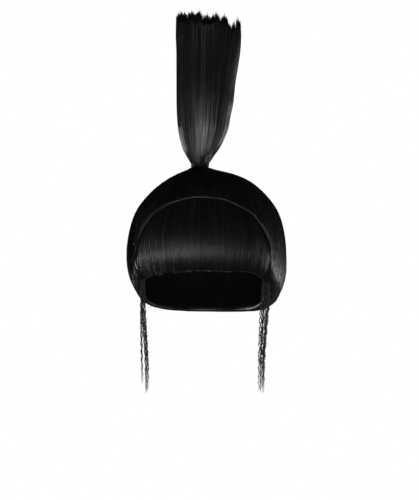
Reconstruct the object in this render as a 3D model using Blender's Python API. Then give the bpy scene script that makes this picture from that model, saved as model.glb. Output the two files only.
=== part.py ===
"""Wig with a tied top tuft, a puffed fringe and two thin sidelocks.

Metres, +Z up. The wig faces -Y and its right-hand side as seen from the front is +X.
The origin is the top of the head inside the hollow.
A point of the hair over the head has three coordinates: the azimuth round the head from the front, the
angle down from the top of the head, and the share of the way from the head to the outside of the hair.
"""

import math

import bmesh
import bpy
import numpy as np

# The hollow that the head fills: half sizes at its widest level, and that level's depth below the top.
HEAD_LEFT = 0.0735
HEAD_RIGHT = 0.0765
HEAD_FRONT = 0.0940
HEAD_BACK = 0.0960
HEAD_RISE = 0.0880

# How thick the hair lies on the head.
HAIR_LEFT = 0.0122
HAIR_RIGHT = 0.0160
HAIR_FRONT = 0.0160
HAIR_BACK = 0.0165
HAIR_TOP = 0.0130

# The tie and the hair gathered in it.
TIE_ASIDE = -0.0039
NECK_RADIUS = 0.0078
TIE_HEIGHT = 0.0062
TIE_BAND = 0.0024

# The tuft above the tie.
TUFT_HEIGHT = 0.1717
TUFT_LEFT = 0.0269
TUFT_RIGHT = 0.0448
TUFT_DEPTH = 0.0275
TUFT_NOTCH = 0.0085

# The sidelocks, from the lower corners of the fringe to their free ends.
LOCK_LEFT_LENGTH = 0.1230
LOCK_RIGHT_LENGTH = 0.1220
LOCK_LEFT_AZIMUTH = -64.0
LOCK_RIGHT_AZIMUTH = 59.0
LOCK_ROOT_SHARE = 0.20
LOCK_SEAT = 0.0006
LOCK_WIDTH = 0.0058
LOCK_THICKNESS = 0.0030

# Small gaps between neighbours, and the relief of the combed hair.
CLEARANCE = 0.0004
SEAM_GAP = 0.0006
RIB_HEIGHT = 0.0006

# How finely the forms are divided.
CROWN_COLUMNS = 84
CROWN_RIBS = 21
FRINGE_COLUMNS = 48
FRINGE_LOCKS = 16
FRINGE_ROWS = 13
TUFT_LOCKS = 16
COLUMNS_IN_TUFT_LOCK = 4
TIE_COLUMNS = 28
STRAND_SIDES = 8
STRAND_ROWS = 16


class Table:
    """Rows with named columns, read as smooth curves over the first column."""

    def __init__(self, names, rows):
        self.names = names.split()
        self.values = np.array(rows, float)
        self.over = self.values[:, 0]

    def at(self, name, where):
        heights = self.values[:, self.names.index(name)]
        slopes = np.gradient(heights, self.over)
        where = min(max(where, self.over[0]), self.over[-1])
        i = min(int(np.searchsorted(self.over, where, side="right")) - 1, len(self.over) - 2)
        step = self.over[i + 1] - self.over[i]
        t = (where - self.over[i]) / step
        rising = t * t * (3 - 2 * t)
        leaving = t * (1 - t) ** 2
        arriving = t * t * (t - 1)
        curve = (1 - rising) * heights[i] + rising * heights[i + 1]
        return curve + step * (leaving * slopes[i] + arriving * slopes[i + 1])


# Level by level down the head, in degrees from the top. The first three are shares of the head's half
# sizes, the next five are shares of the hair's thickness, and the last is a share of the tie's offset.
LEVELS = Table(
    "angle side front back left right fore rear top shift",
    [
        (0.0, 0.000, 0.000, 0.000, 0.00, 0.00, 0.00, 0.00, 1.00, 1.0),
        (7.5, 0.131, 0.131, 0.131, 0.08, 0.06, 0.06, 0.06, 0.98, 0.9),
        (15.0, 0.259, 0.259, 0.259, 0.10, 0.18, 0.20, 0.14, 0.97, 0.5),
        (22.5, 0.383, 0.383, 0.383, 0.18, 0.46, 0.35, 0.28, 0.95, 0.2),
        (30.0, 0.500, 0.500, 0.500, 0.33, 0.65, 0.50, 0.44, 0.92, 0.0),
        (45.0, 0.707, 0.715, 0.712, 0.63, 0.88, 0.74, 0.72, 0.80, 0.0),
        (60.0, 0.866, 0.875, 0.872, 0.95, 1.00, 0.90, 0.92, 0.65, 0.0),
        (75.0, 0.966, 0.968, 0.968, 1.00, 0.97, 0.98, 1.00, 0.49, 0.0),
        (90.0, 1.000, 1.000, 1.000, 1.00, 1.00, 1.00, 1.00, 0.31, 0.0),
        (105.0, 0.985, 0.980, 0.950, 0.79, 1.03, 0.96, 0.94, 0.14, 0.0),
        (120.0, 0.870, 0.880, 0.810, 0.50, 1.02, 0.86, 0.78, -0.04, 0.0),
        (132.0, 0.760, 0.800, 0.690, 0.55, 0.84, 0.70, 0.62, -0.10, 0.0),
    ],
)

# The crown's free edge in degrees: from the nape round the left side, up the seam beside the fringe, over
# the arc above the fringe, down the other seam and round the right side to the nape.
EDGE = [
    (-180.0, 132.0),
    (-160.0, 131.5),
    (-135.0, 129.5),
    (-110.0, 125.5),
    (-86.0, 119.5),
    (-73.0, 111.5),
    (-64.5, 105.5),
    (-59.5, 99.0),
    (-57.8, 90.0),
    (-59.0, 80.0),
    (-56.0, 73.5),
    (-48.5, 62.9),
    (-37.2, 56.4),
    (-26.0, 51.9),
    (-12.0, 48.9),
    (3.0, 48.6),
    (16.4, 50.2),
    (28.5, 54.8),
    (40.2, 61.0),
    (47.0, 69.5),
    (52.0, 77.3),
    (53.6, 83.0),
    (53.2, 92.0),
    (55.0, 100.0),
    (60.0, 106.5),
    (70.0, 112.0),
    (80.0, 117.5),
    (90.0, 123.0),
    (105.0, 128.0),
    (120.0, 130.5),
    (150.0, 132.0),
    (180.0, 132.0),
]
# The arc runs between the two samples of the edge above this angle, and the hair behind its ends is combed
# up to this azimuth at the neck. A seam beside the fringe takes up to this share of the edge.
WINDOW_CORNER_ANGLE = 82.0
CORNER_LEAN = 64.0
SEAM_SHARE = 0.07

# The fringe's lower edge in degrees down the head, across from its left side to its right.
FRINGE_EDGE = Table(
    "across angle",
    [
        (-1.0, 105.6),
        (-0.84, 103.2),
        (-0.50, 100.2),
        (-0.08, 98.8),
        (0.38, 99.6),
        (0.80, 101.4),
        (0.88, 103.6),
        (1.0, 106.4),
    ],
)

# How far the fringe puffs out on its way down, as shares of the hair's thickness.
FRINGE_PUFF = Table(
    "down outside inside",
    [
        (0.00, 0.80, 0.00),
        (0.14, 0.84, 0.00),
        (0.30, 0.93, 0.00),
        (0.46, 1.02, 0.00),
        (0.60, 1.07, 0.00),
        (0.74, 1.06, 0.00),
        (0.86, 0.95, 0.01),
        (0.94, 0.74, 0.04),
        (1.00, 0.44, 0.12),
    ],
)
FRINGE_SIDE_SHARE = 0.80

# The tuft above the tie: shares of its height and of its half sizes.
TUFT = Table(
    "rise left right depth",
    [
        (0.020, 0.400, 0.235, 0.350),
        (0.055, 0.565, 0.345, 0.450),
        (0.095, 0.705, 0.450, 0.580),
        (0.147, 0.795, 0.550, 0.680),
        (0.200, 0.870, 0.625, 0.750),
        (0.252, 0.910, 0.695, 0.800),
        (0.356, 0.950, 0.755, 0.860),
        (0.460, 0.960, 0.825, 0.900),
        (0.565, 0.960, 0.855, 0.930),
        (0.670, 0.965, 0.900, 0.955),
        (0.773, 0.970, 0.950, 0.975),
        (0.907, 1.000, 0.995, 1.000),
        (1.000, 1.000, 1.000, 1.000),
    ],
)
TUFT_TOP_FALL = 0.058
TUFT_SWELL = 0.045

# Each sidelock strand, as shares of its lock's length and width: how far it strays sideways, how broad it
# is, and how far it lies in front of the lock's line.
LEFT_MAIN = Table(
    "fall aside breadth ahead",
    [
        (0.00, 0.00, 0.95, 0.00),
        (0.15, 0.08, 0.90, 0.02),
        (0.35, 0.16, 0.80, 0.08),
        (0.55, 0.40, 0.66, 0.06),
        (0.75, 0.62, 0.62, 0.10),
        (0.90, 0.78, 0.46, 0.14),
        (1.00, 0.88, 0.16, 0.10),
    ],
)
LEFT_OUTER = Table(
    "fall aside breadth ahead",
    [
        (0.00, -0.08, 0.70, 0.00),
        (0.30, -0.12, 0.60, -0.06),
        (0.50, -0.22, 0.42, -0.10),
        (0.75, -0.30, 0.36, -0.02),
        (0.94, -0.24, 0.14, -0.06),
    ],
)
RIGHT_MAIN = Table(
    "fall aside breadth ahead",
    [
        (0.00, 0.00, 1.35, 0.00),
        (0.15, -0.10, 1.30, 0.04),
        (0.40, -0.22, 1.10, 0.08),
        (0.65, -0.40, 0.92, 0.04),
        (0.85, -0.62, 0.70, 0.10),
        (1.00, -0.70, 0.18, 0.12),
    ],
)
RIGHT_OUTER = Table(
    "fall aside breadth ahead",
    [
        (0.00, 0.30, 0.70, 0.00),
        (0.25, 0.34, 0.62, -0.05),
        (0.55, 0.16, 0.44, -0.12),
        (0.80, -0.10, 0.34, -0.04),
        (0.92, -0.16, 0.14, -0.02),
    ],
)

NECK_TOP = HAIR_TOP + 0.6 * TIE_HEIGHT
TIE_FOOT = HAIR_TOP + 2 * CLEARANCE


def clear_scene():
    for old in list(bpy.data.objects):
        bpy.data.objects.remove(old, do_unlink=True)


def make_material(name, colour, roughness):
    material = bpy.data.materials.new(name)
    material.use_nodes = True
    shader = material.node_tree.nodes["Principled BSDF"]
    shader.inputs["Base Color"].default_value = (*colour, 1.0)
    shader.inputs["Roughness"].default_value = roughness
    shader.inputs["Metallic"].default_value = 0.0
    return material


def add_solid(name, points, faces, material):
    """A closed mesh object, with its faces turned outwards."""
    mesh = bpy.data.meshes.new(name)
    mesh.from_pydata([tuple(p) for p in points], [], faces)
    work = bmesh.new()
    work.from_mesh(mesh)
    bmesh.ops.recalc_face_normals(work, faces=work.faces)
    work.to_mesh(mesh)
    work.free()
    mesh.shade_smooth()
    mesh.materials.append(material)
    solid = bpy.data.objects.new(name, mesh)
    bpy.context.scene.collection.objects.link(solid)
    return solid


def ringed_solid(name, rings, first_pole, last_pole, material):
    """A body skinned over closed rings of equal count, and closed by a fan at each end."""
    count = len(rings[0])
    points = [p for ring in rings for p in ring] + [first_pole, last_pole]
    first, last = len(points) - 2, len(points) - 1
    faces = []
    for row in range(len(rings) - 1):
        for i in range(count):
            j = (i + 1) % count
            low, high = row * count, (row + 1) * count
            faces.append((low + i, low + j, high + j, high + i))
    top = (len(rings) - 1) * count
    for i in range(count):
        j = (i + 1) % count
        faces.append((first, j, i))
        faces.append((last, top + i, top + j))
    return add_solid(name, points, faces, material)


def slab_solid(name, outside, inside, material):
    """A thick sheet between two grids of the same size, closed along its four sides."""
    rows, columns = len(outside), len(outside[0])
    points = [p for row in outside for p in row] + [p for row in inside for p in row]
    under = rows * columns
    faces = []
    for r in range(rows - 1):
        for c in range(columns - 1):
            quad = (r * columns + c, r * columns + c + 1, (r + 1) * columns + c + 1, (r + 1) * columns + c)
            faces.append(quad)
            faces.append(tuple(under + i for i in reversed(quad)))
    top = list(range(columns))
    right = [r * columns + columns - 1 for r in range(rows)]
    bottom = [(rows - 1) * columns + c for c in range(columns)]
    left = [r * columns for r in range(rows)]
    for border in (top, right, bottom, left):
        for a, b in zip(border, border[1:]):
            faces.append((a, b, under + b, under + a))
    return add_solid(name, points, faces, material)


def hair_point(azimuth, angle, share):
    """A point of the hair over the head, from its two angles in degrees and its share of the thickness."""
    turn, fall = math.radians(azimuth), math.radians(angle)
    right, ahead = math.sin(turn), math.cos(turn)
    side = (HEAD_RIGHT if right > 0 else HEAD_LEFT) * LEVELS.at("side", angle)
    side_hair = HAIR_RIGHT * LEVELS.at("right", angle) if right > 0 else HAIR_LEFT * LEVELS.at("left", angle)
    reach = HEAD_FRONT * LEVELS.at("front", angle) if ahead > 0 else HEAD_BACK * LEVELS.at("back", angle)
    reach_hair = HAIR_FRONT * LEVELS.at("fore", angle) if ahead > 0 else HAIR_BACK * LEVELS.at("rear", angle)
    x = right * (side + share * side_hair) + share * TIE_ASIDE * LEVELS.at("shift", angle)
    y = -ahead * (reach + share * reach_hair)
    z = share * HAIR_TOP * LEVELS.at("top", angle) - HEAD_RISE * (1 - math.cos(fall))
    return np.array((x, y, z))


def smooth_loop(rows, count):
    """Evenly spaced samples of a curve through rows of angles, measured along the outside of the hair."""
    rows = np.array(rows, float)
    over = np.arange(len(rows), dtype=float)
    azimuths = Table("row value", np.column_stack([over, rows[:, 0]]))
    angles = Table("row value", np.column_stack([over, rows[:, 1]]))
    fine = np.linspace(0, over[-1], 40 * len(rows))
    curve = np.array([(azimuths.at("value", t), angles.at("value", t)) for t in fine])
    points = np.array([hair_point(a, b, 1.0) for a, b in curve])
    lengths = np.concatenate([[0], np.cumsum(np.linalg.norm(np.diff(points, axis=0), axis=1))])
    wanted = np.linspace(0, lengths[-1], count + 1)[:-1]
    return np.column_stack([np.interp(wanted, lengths, curve[:, k]) for k in (0, 1)])


def window_corners(edge):
    """The two samples of the edge where the arc above the fringe meets the seams beside it."""
    over_arc = np.flatnonzero(edge[:, 1] < WINDOW_CORNER_ANGLE)
    return over_arc[0], over_arc[-1]


def crown_hair(material):
    """The hollow hair mass: inside wall, free edge, outside wall combed up to the neck, and the neck."""
    edge = smooth_loop(EDGE, CROWN_COLUMNS)
    corners = window_corners(edge)
    knots = [0, *corners, CROWN_COLUMNS]
    lean = np.interp(np.arange(CROWN_COLUMNS), knots, [-180, -CORNER_LEAN, CORNER_LEAN, 180])
    neck_angle = 6.0

    def ring(rise, share, ribs=0.0):
        points = []
        for i, (azimuth, angle) in enumerate(edge):
            turn = azimuth + (lean[i] - azimuth) * rise
            down = angle + (neck_angle - angle) * rise
            wave = math.cos(2 * math.pi * CROWN_RIBS * i / CROWN_COLUMNS)
            points.append(hair_point(turn, down, share + ribs * wave))
        return points

    inside = [(0.98, 0.0), (0.88, 0.0), (0.76, 0.0), (0.62, 0.0), (0.46, 0.0), (0.30, 0.0), (0.15, 0.0)]
    lip = [(0.04, 0.0), (0.0, 0.10), (0.0, 0.84), (0.012, 0.95), (0.035, 1.0)]
    outside = [0.09, 0.16, 0.24, 0.32, 0.40, 0.48, 0.56, 0.64, 0.71, 0.78, 0.84, 0.89, 0.94]
    rib = RIB_HEIGHT / HAIR_TOP
    rings = [ring(rise, share) for rise, share in inside + lip]
    rings += [ring(rise, 1.0, rib * math.sin(math.pi * rise) ** 0.5) for rise in outside]
    for height, swell in ((HAIR_TOP - CLEARANCE, 1.12), (TIE_FOOT, 1.0), (NECK_TOP, 1.0)):
        radius = NECK_RADIUS * swell
        rings.append([
            (TIE_ASIDE + radius * math.sin(a), -radius * math.cos(a), height) for a in np.radians(lean)
        ])
    return ringed_solid("crown_hair", rings, (0, 0, 0), (TIE_ASIDE, 0, NECK_TOP), material)


def fringe(material):
    """The puffed fringe that fills the window under the arc, with its lower edge cut in locks."""
    gap = math.degrees(SEAM_GAP / HEAD_RISE)
    edge = smooth_loop(EDGE, CROWN_COLUMNS)
    first, last = window_corners(edge)
    seam = int(CROWN_COLUMNS * SEAM_SHARE)
    arc = edge[first : last + 1]
    left = edge[first - seam : first + 1][::-1]
    right = edge[last : last + seam + 1]

    def side(across, angle):
        seam = left if across < 0 else right
        return np.interp(angle, seam[:, 1], seam[:, 0]) - math.copysign(gap, across)

    outside, inside = [], []
    for r in range(FRINGE_ROWS + 1):
        down = r / FRINGE_ROWS
        down = down + 0.25 * down * (1 - down)
        outer_row, inner_row = [], []
        for c in range(FRINGE_COLUMNS + 1):
            across = 2 * c / FRINGE_COLUMNS - 1
            start = abs(across) * side(across, 0)
            top = np.interp(start + math.copysign(gap, across), arc[:, 0], arc[:, 1]) + gap
            comb = abs(math.sin(math.pi * FRINGE_LOCKS * (across + 1) / 2))
            bottom = FRINGE_EDGE.at("angle", across) + 0.5 * comb
            angle = top + (bottom - top) * down
            azimuth = abs(across) * side(across, angle)
            thin = 1 - (1 - FRINGE_SIDE_SHARE) * abs(across) ** 6
            swell = 0.025 * (comb - 0.6) * math.sin(math.pi * down)
            outer_row.append(hair_point(azimuth, angle, thin * (FRINGE_PUFF.at("outside", down) + swell)))
            inner_row.append(hair_point(azimuth, angle, thin * FRINGE_PUFF.at("inside", down)))
        outside.append(outer_row)
        inside.append(inner_row)
    return slab_solid("fringe", outside, inside, material)


def hair_tie(material):
    """An elastic band wound twice round the gathered hair."""
    inner = NECK_RADIUS + CLEARANCE
    outer = inner + TIE_BAND
    waist = inner + 0.62 * TIE_BAND
    shoulder = inner + 0.78 * TIE_BAND
    profile = [
        (inner, 0.06), (shoulder, 0.0), (outer, 0.14), (outer, 0.30), (shoulder, 0.42), (waist, 0.48),
        (shoulder, 0.56), (outer, 0.68), (outer, 0.86), (shoulder, 1.0), (inner, 0.94),
    ]
    points, faces = [], []
    for i in range(TIE_COLUMNS):
        turn = 2 * math.pi * i / TIE_COLUMNS
        for radius, rise in profile:
            x = TIE_ASIDE + radius * math.sin(turn)
            points.append((x, -radius * math.cos(turn), TIE_FOOT + rise * TIE_HEIGHT))
    count = len(profile)
    for i in range(TIE_COLUMNS):
        for k in range(count):
            here, beside = i * count, (i + 1) % TIE_COLUMNS * count
            j = (k + 1) % count
            faces.append((here + k, beside + k, beside + j, here + j))
    return add_solid("hair_tie", points, faces, material)


def top_tuft(material):
    """The upright tuft: locks that fan out from the tie, fused side by side, each with its own tip."""
    foot = NECK_TOP + CLEARANCE
    count = TUFT_LOCKS * COLUMNS_IN_TUFT_LOCK
    turns = [2 * math.pi * i / count for i in range(count)]
    ragged = np.random.default_rng(5).uniform(0.0, 1.0, (3, TUFT_LOCKS))

    def section(rise, i, shrink=1.0):
        right, ahead = math.sin(turns[i]), math.cos(turns[i])
        half = TUFT_RIGHT * TUFT.at("right", rise) if right > 0 else TUFT_LEFT * TUFT.at("left", rise)
        groove = abs(math.sin(math.pi * (i / COLUMNS_IN_TUFT_LOCK)))
        lobe = 1 - TUFT_SWELL * rise * (1 - groove)
        y = -ahead * TUFT_DEPTH * TUFT.at("depth", rise) * shrink * lobe
        return TIE_ASIDE + right * half * shrink * lobe, y

    def tip_height(i, ring):
        lock = int((i + ring * COLUMNS_IN_TUFT_LOCK / 2) // COLUMNS_IN_TUFT_LOCK) % TUFT_LOCKS
        inside_lock = (i + ring * COLUMNS_IN_TUFT_LOCK / 2) % COLUMNS_IN_TUFT_LOCK / COLUMNS_IN_TUFT_LOCK
        notch = TUFT_NOTCH * (0.25 + 0.75 * ragged[ring, lock]) * abs(2 * inside_lock - 1)
        slope = TUFT_TOP_FALL * TUFT_HEIGHT * max(0.0, math.sin(turns[i])) ** 0.8 * (1 - 0.3 * ring)
        return TUFT_HEIGHT - slope - notch - 0.25 * TUFT_NOTCH * ragged[ring, lock]

    rings = []
    tie_top = TIE_FOOT + TIE_HEIGHT + CLEARANCE
    for height in (foot, tie_top):
        rings.append([
            (TIE_ASIDE + NECK_RADIUS * math.sin(a), -NECK_RADIUS * math.cos(a), height) for a in turns
        ])
    for rise in TUFT.over[:-1]:
        row = []
        for i in range(count):
            x, y = section(rise, i)
            row.append((x, y, tie_top + rise * (foot + tip_height(i, 0) - tie_top)))
        rings.append(row)
    for ring, shrink in ((0, 1.0), (1, 0.78), (2, 0.42)):
        row = []
        for i in range(count):
            x, y = section(1.0, i, shrink)
            row.append((x, y, foot + tip_height(i, ring)))
        rings.append(row)
    return ringed_solid(
        "top_tuft", rings, (TIE_ASIDE, 0, foot), (TIE_ASIDE, 0, foot + TUFT_HEIGHT - TUFT_NOTCH), material
    )


def strand(name, shape, root, length, material):
    """One thin flat strand that hangs from its root, waves a little and thins to its free end."""
    rings = []
    last = shape.over[-1]
    for r in range(STRAND_ROWS + 1):
        fall = last * r / STRAND_ROWS
        wave = 0.10 * LOCK_WIDTH * math.sin(9.0 * fall) * min(1.0, 4 * fall)
        x = root[0] + LOCK_WIDTH * shape.at("aside", fall) + wave
        y = root[1] - LOCK_WIDTH * shape.at("ahead", fall)
        z = root[2] - length * fall
        breadth = LOCK_WIDTH * shape.at("breadth", fall) / 2
        depth = LOCK_THICKNESS * (0.35 + 0.65 * shape.at("breadth", fall) / shape.at("breadth", 0)) / 2
        turns = [2 * math.pi * k / STRAND_SIDES for k in range(STRAND_SIDES)]
        rings.append([(x + breadth * math.cos(t), y + depth * math.sin(t), z) for t in turns])
    tip = np.mean(np.array(rings[-1]), axis=0) - np.array((0, 0, 0.004 * length))
    return ringed_solid(name, rings, np.mean(np.array(rings[0]), axis=0), tip, material)


def sidelock(name, across, length, main, outer, material):
    """A sidelock under one lower corner of the fringe: two strands fused where they lie together."""
    corner = FRINGE_EDGE.at("angle", across)
    azimuth = LOCK_LEFT_AZIMUTH if across < 0 else LOCK_RIGHT_AZIMUTH
    root = hair_point(azimuth, corner, LOCK_ROOT_SHARE)
    root[2] = hair_point(azimuth, corner, 0.0)[2] - LOCK_SEAT
    lock = strand(name, main, root, length, material)
    partner = strand(name + "_second_strand", outer, root - np.array((0, 0, CLEARANCE)), length, material)
    partner.hide_render = True
    partner.display_type = "WIRE"
    joining = lock.modifiers.new("joined", "BOOLEAN")
    joining.operation = "UNION"
    joining.object = partner
    return lock


def main():
    clear_scene()
    hair = make_material("black_hair", (0.008, 0.008, 0.009), 0.38)
    wisp = make_material("thin_hair", (0.020, 0.018, 0.016), 0.45)
    band = make_material("black_elastic", (0.010, 0.010, 0.011), 0.55)
    crown_hair(hair)
    fringe(hair)
    hair_tie(band)
    top_tuft(hair)
    sidelock("sidelock_left", -1.0, LOCK_LEFT_LENGTH, LEFT_MAIN, LEFT_OUTER, wisp)
    sidelock("sidelock_right", 1.0, LOCK_RIGHT_LENGTH, RIGHT_MAIN, RIGHT_OUTER, wisp)


main()
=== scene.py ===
"""Combed hair, strands, tie and stage of a wig with a puffed fringe, a tied top tuft and two sidelocks.

The wig faces -Y, its top tuft stands along +Z, and the origin is the top of the head inside the hollow.
"""

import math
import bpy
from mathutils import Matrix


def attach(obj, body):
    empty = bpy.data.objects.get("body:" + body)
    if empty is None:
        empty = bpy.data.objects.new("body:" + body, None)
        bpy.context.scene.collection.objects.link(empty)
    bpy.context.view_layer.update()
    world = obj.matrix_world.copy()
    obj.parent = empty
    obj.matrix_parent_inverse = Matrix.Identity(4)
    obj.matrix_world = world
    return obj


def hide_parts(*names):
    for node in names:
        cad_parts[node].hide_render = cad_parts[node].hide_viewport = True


bl_info = {
    "name": "Tied Tuft Wig",
    "version": (1, 0, 0),
    "blender": (4, 5, 0),
    "location": "3D Viewport > Sidebar > Wig",
    "description": "Builds the combed hair, the loose strands and the stage of a wig with a tied tuft",
    "category": "Add Mesh",
}

import bpy
import numpy as np

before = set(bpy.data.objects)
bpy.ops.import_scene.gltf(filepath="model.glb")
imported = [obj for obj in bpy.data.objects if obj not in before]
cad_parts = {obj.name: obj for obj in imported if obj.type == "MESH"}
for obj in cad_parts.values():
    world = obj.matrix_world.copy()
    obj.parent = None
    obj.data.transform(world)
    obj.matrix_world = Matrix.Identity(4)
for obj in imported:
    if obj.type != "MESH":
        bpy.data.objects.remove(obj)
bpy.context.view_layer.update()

# The hollow that the head fills and the hair on it, as in the solids.
HEAD_LEFT = 0.0735
HEAD_RIGHT = 0.0765
HEAD_FRONT = 0.0940
HEAD_BACK = 0.0960
HEAD_RISE = 0.0880
HAIR_LEFT = 0.0122
HAIR_RIGHT = 0.0160
HAIR_FRONT = 0.0160
HAIR_BACK = 0.0165
HAIR_TOP = 0.0130

# The tie and the tuft, as in the solids.
TIE_ASIDE = -0.0039
NECK_RADIUS = 0.0078
TIE_BAND = 0.0024
CLEARANCE = 0.0004
TIE_FOOT = HAIR_TOP + 2 * CLEARANCE
TIE_HEIGHT = 0.0062
NECK_TOP = HAIR_TOP + 0.6 * TIE_HEIGHT
TUFT_FOOT = NECK_TOP + CLEARANCE
TUFT_LEFT = 0.0269
TUFT_RIGHT = 0.0448
TUFT_DEPTH = 0.0275

NECK_ANGLE = 6.0
CORNER_LEAN = 64.0
WINDOW_CORNER_ANGLE = 82.0
SEAM_SHARE = 0.07
SEAM_GAP_DEGREES = 0.35

# How the visible hair is finished: it rolls in at its edge, and swells to the tie's girth at the neck.
EDGE_ROLL = 0.08
EDGE_BULGE = 0.008
EDGE_ROUNDING = 0.0011
EDGE_ROUNDING_REACH = 0.006
EDGE_UNEVENNESS = 0.5
EDGE_CLOSING = 0.94
NECK_START = 0.93
TIE_GIRTH = NECK_RADIUS + CLEARANCE + 0.98 * TIE_BAND
NECK_TUCK = 0.0002
TUFT_SKIRT = TIE_FOOT + TIE_HEIGHT - 0.0010
FRINGE_FALL = 0.085
FRINGE_SIDE_SHARE = 0.84
TUFT_BODY_DROP = 0.011

# How the strands lie. A share of them starts at the crown's edge, reaches the tie or strays aside.
CROWN_FROM_EDGE = 0.74
CROWN_TO_TIE = 0.6
CROWN_STRAYS = 0.2
FRINGE_LOCKS = 58
FRINGE_HALF_WIDTH = 1.012
FRINGE_TIP = 1.008
TUFT_LOCKS = 210
TUFT_LOCK_TURN = 2.39996
TUFT_LOCK_START = 0.88
WISP_HAIRS = 6

# Most strands are dark and a few are pale: the higher this is, the fewer are pale.
TONE_BIAS = 2.2

# The combed surface's streaks, as shares of the hair's colour, and its fine grooves in metres.
STREAK_DARK = 0.35
STREAK_PALE = 2.6
GROOVE_STRENGTH = 0.55
GROOVE_DEPTH = 0.00035

# The photograph's scale and frame: metres a pixel at the wig, and where the frame's centre lies on it.
METRES_PER_PIXEL = 0.00112
FRAME_WIDTH = 419
FRAME_HEIGHT = 500
HEAD_TOP_PIXEL = (203.5, 180.0)
CAMERA_DISTANCE = 4.0
SENSOR = 36.0


class Rows:
    """A short table with named columns, read as smooth curves over its first column."""

    def __init__(self, names, rows):
        self.names = names.split()
        self.values = np.array(rows, float)
        self.over = self.values[:, 0]

    def at(self, name, where):
        heights = self.values[:, self.names.index(name)]
        slopes = np.gradient(heights, self.over)
        where = np.clip(np.asarray(where, float), self.over[0], self.over[-1])
        i = np.clip(np.searchsorted(self.over, where, side="right") - 1, 0, len(self.over) - 2)
        step = self.over[i + 1] - self.over[i]
        t = (where - self.over[i]) / step
        rising = t * t * (3 - 2 * t)
        curve = (1 - rising) * heights[i] + rising * heights[i + 1]
        return curve + step * (t * (1 - t) ** 2 * slopes[i] + t * t * (t - 1) * slopes[i + 1])


# Level by level down the head, in degrees from the top: shares of the head's half sizes, then of the
# hair's thickness, then of the tie's offset.
LEVELS = Rows(
    "angle side front back left right fore rear top shift",
    [
        (0.0, 0.000, 0.000, 0.000, 0.00, 0.00, 0.00, 0.00, 1.00, 1.0),
        (7.5, 0.131, 0.131, 0.131, 0.08, 0.06, 0.06, 0.06, 0.98, 0.9),
        (15.0, 0.259, 0.259, 0.259, 0.10, 0.18, 0.20, 0.14, 0.97, 0.5),
        (22.5, 0.383, 0.383, 0.383, 0.18, 0.46, 0.35, 0.28, 0.95, 0.2),
        (30.0, 0.500, 0.500, 0.500, 0.33, 0.65, 0.50, 0.44, 0.92, 0.0),
        (45.0, 0.707, 0.715, 0.712, 0.63, 0.88, 0.74, 0.72, 0.80, 0.0),
        (60.0, 0.866, 0.875, 0.872, 0.95, 1.00, 0.90, 0.92, 0.65, 0.0),
        (75.0, 0.966, 0.968, 0.968, 1.00, 0.97, 0.98, 1.00, 0.49, 0.0),
        (90.0, 1.000, 1.000, 1.000, 1.00, 1.00, 1.00, 1.00, 0.31, 0.0),
        (105.0, 0.985, 0.980, 0.950, 0.79, 1.03, 0.96, 0.94, 0.14, 0.0),
        (120.0, 0.870, 0.880, 0.810, 0.50, 1.02, 0.86, 0.78, -0.04, 0.0),
        (132.0, 0.760, 0.800, 0.690, 0.55, 0.84, 0.70, 0.62, -0.10, 0.0),
    ],
)

# The crown's free edge in degrees, from the nape round the left side, over the arc and back.
EDGE = Rows(
    "row azimuth angle",
    [(i, *pair) for i, pair in enumerate([
        (-180.0, 132.0), (-160.0, 131.5), (-135.0, 129.5), (-110.0, 125.5), (-86.0, 119.5),
        (-73.0, 111.5), (-64.5, 105.5), (-59.5, 99.0), (-57.8, 90.0), (-59.0, 80.0),
        (-56.0, 73.5), (-48.5, 62.9), (-37.2, 56.4), (-26.0, 51.9), (-12.0, 48.9),
        (3.0, 48.6), (16.4, 50.2), (28.5, 54.8), (40.2, 61.0), (47.0, 69.5),
        (52.0, 77.3), (53.6, 83.0), (53.2, 92.0), (55.0, 100.0), (60.0, 106.5),
        (70.0, 112.0), (80.0, 117.5), (90.0, 123.0), (105.0, 128.0), (120.0, 130.5),
        (150.0, 132.0), (180.0, 132.0),
    ])],
)

# The fringe's lower edge, and how far it puffs out on its way down.
FRINGE_EDGE = Rows(
    "across angle",
    [(-1.0, 105.6), (-0.84, 103.2), (-0.50, 100.2), (-0.08, 98.8),
     (0.38, 99.6), (0.80, 101.4), (0.88, 103.6), (1.0, 106.4)],
)
FRINGE_PUFF = Rows(
    "down outside inside",
    [
        (0.00, 0.88, 0.00), (0.12, 0.95, 0.00), (0.26, 1.08, 0.00), (0.40, 1.18, 0.00), (0.52, 1.17, 0.00),
        (0.64, 1.08, 0.00), (0.76, 0.94, 0.00), (0.87, 0.76, 0.03), (0.94, 0.58, 0.08), (1.00, 0.36, 0.20),
    ],
)

# The tuft above the tie: shares of its height and of its half sizes.
TUFT = Rows(
    "rise left right depth",
    [
        (0.000, 0.390, 0.230, 0.375), (0.020, 0.410, 0.245, 0.395), (0.055, 0.565, 0.345, 0.445),
        (0.095, 0.705, 0.450, 0.500), (0.147, 0.795, 0.550, 0.570), (0.200, 0.870, 0.625, 0.640),
        (0.252, 0.910, 0.695, 0.705), (0.356, 0.950, 0.755, 0.805), (0.460, 0.960, 0.825, 0.875),
        (0.565, 0.960, 0.855, 0.915), (0.670, 0.965, 0.900, 0.940), (0.773, 0.970, 0.950, 0.960),
        (0.907, 1.000, 0.995, 0.990),
        (1.000, 1.000, 1.000, 1.000),
    ],
)

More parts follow.
